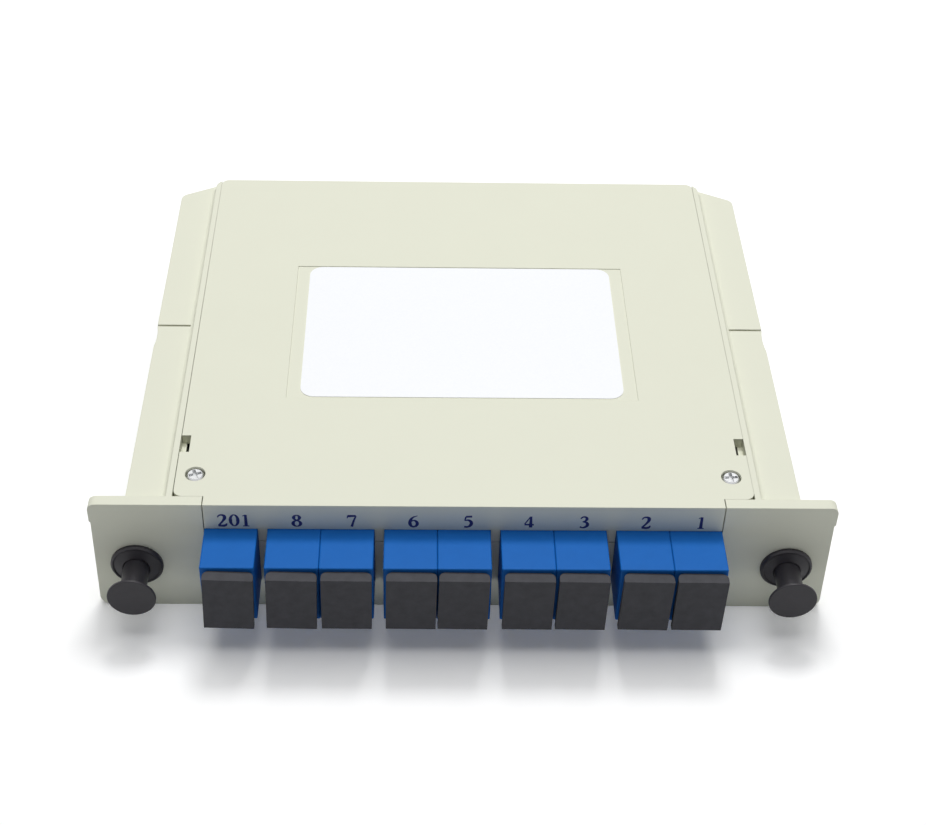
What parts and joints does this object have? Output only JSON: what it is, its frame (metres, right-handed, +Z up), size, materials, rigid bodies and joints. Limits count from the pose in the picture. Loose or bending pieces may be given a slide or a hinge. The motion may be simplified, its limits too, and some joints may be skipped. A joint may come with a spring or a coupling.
{
  "type": "plc fibre splitter",
  "caption": "Slim rack cassette that splits one fibre input into eight outputs, with capped square ports in its front panel, plunger latches in both ears and side guide wings.",
  "frame": {"origin": "on the underside, on the centre line, in the plane of the ears' back faces", "axes": "+X across the panel to the right seen from the front, +Y back into the rack, +Z up"},
  "size_m": [0.1306, 0.1116, 0.025],
  "materials": {
    "casing": "pale grey-beige moulded ABS, fine satin grain",
    "adapter": "blue moulded PBT, satin gloss",
    "cap": "dark grey moulded plastic, satin",
    "latch": "black moulded nylon",
    "label": "white coated paper",
    "steel": "zinc-plated steel",
    "ceramic": "white zirconia",
    "connector": "blue moulded connector body",
    "fibre": "white 0.9 mm fibre jacket",
    "glass_chip": "silica waveguide chip"
  },
  "bodies": {
    "housing": {"base": "casing", "cover": "casing", "label": "label", "screws": "steel", "splitter_tube": "steel", "splitter_plug_in": "latch", "splitter_plug_out": "latch", "splitter_chip": "glass_chip", "adapter_201": "adapter", "sleeve_201": "ceramic", "connector_201": "connector", "fibre_201": "fibre", "adapter_8": "adapter", "sleeve_8": "ceramic", "connector_8": "connector", "fibre_8": "fibre", "adapter_7": "adapter", "sleeve_7": "ceramic", "connector_7": "connector", "fibre_7": "fibre", "adapter_6": "adapter", "sleeve_6": "ceramic", "connector_6": "connector", "fibre_6": "fibre", "adapter_5": "adapter", "sleeve_5": "ceramic", "connector_5": "connector", "fibre_5": "fibre", "adapter_4": "adapter", "sleeve_4": "ceramic", "connector_4": "connector", "fibre_4": "fibre", "adapter_3": "adapter", "sleeve_3": "ceramic", "connector_3": "connector", "fibre_3": "fibre", "adapter_2": "adapter", "sleeve_2": "ceramic", "connector_2": "connector", "fibre_2": "fibre", "adapter_1": "adapter", "sleeve_1": "ceramic", "connector_1": "connector", "fibre_1": "fibre", "latch_grommet_left": "latch", "latch_grommet_right": "latch"},
    "cap_201": {"dust_cap_201": "cap"},
    "cap_8": {"dust_cap_8": "cap"},
    "cap_7": {"dust_cap_7": "cap"},
    "cap_6": {"dust_cap_6": "cap"},
    "cap_5": {"dust_cap_5": "cap"},
    "cap_4": {"dust_cap_4": "cap"},
    "cap_3": {"dust_cap_3": "cap"},
    "cap_2": {"dust_cap_2": "cap"},
    "cap_1": {"dust_cap_1": "cap"},
    "plunger_left": {"latch_plunger_left": "latch"},
    "plunger_right": {"latch_plunger_right": "latch"}
  },
  "joints": [
    {"name": "cap_201_pull", "type": "slide", "parent": "housing", "child": "cap_201", "axis": [0, -1, 0], "range_m": [0, 0.02]},
    {"name": "cap_8_pull", "type": "slide", "parent": "housing", "child": "cap_8", "axis": [0, -1, 0], "range_m": [0, 0.02]},
    {"name": "cap_7_pull", "type": "slide", "parent": "housing", "child": "cap_7", "axis": [0, -1, 0], "range_m": [0, 0.02]},
    {"name": "cap_6_pull", "type": "slide", "parent": "housing", "child": "cap_6", "axis": [0, -1, 0], "range_m": [0, 0.02]},
    {"name": "cap_5_pull", "type": "slide", "parent": "housing", "child": "cap_5", "axis": [0, -1, 0], "range_m": [0, 0.02]},
    {"name": "cap_4_pull", "type": "slide", "parent": "housing", "child": "cap_4", "axis": [0, -1, 0], "range_m": [0, 0.02]},
    {"name": "cap_3_pull", "type": "slide", "parent": "housing", "child": "cap_3", "axis": [0, -1, 0], "range_m": [0, 0.02]},
    {"name": "cap_2_pull", "type": "slide", "parent": "housing", "child": "cap_2", "axis": [0, -1, 0], "range_m": [0, 0.02]},
    {"name": "cap_1_pull", "type": "slide", "parent": "housing", "child": "cap_1", "axis": [0, -1, 0], "range_m": [0, 0.02]},
    {"name": "plunger_left_push", "type": "slide", "parent": "housing", "child": "plunger_left", "axis": [0, 1, 0], "range_m": [0, 0.005]},
    {"name": "plunger_right_push", "type": "slide", "parent": "housing", "child": "plunger_right", "axis": [0, 1, 0], "range_m": [0, 0.005]}
  ]
}
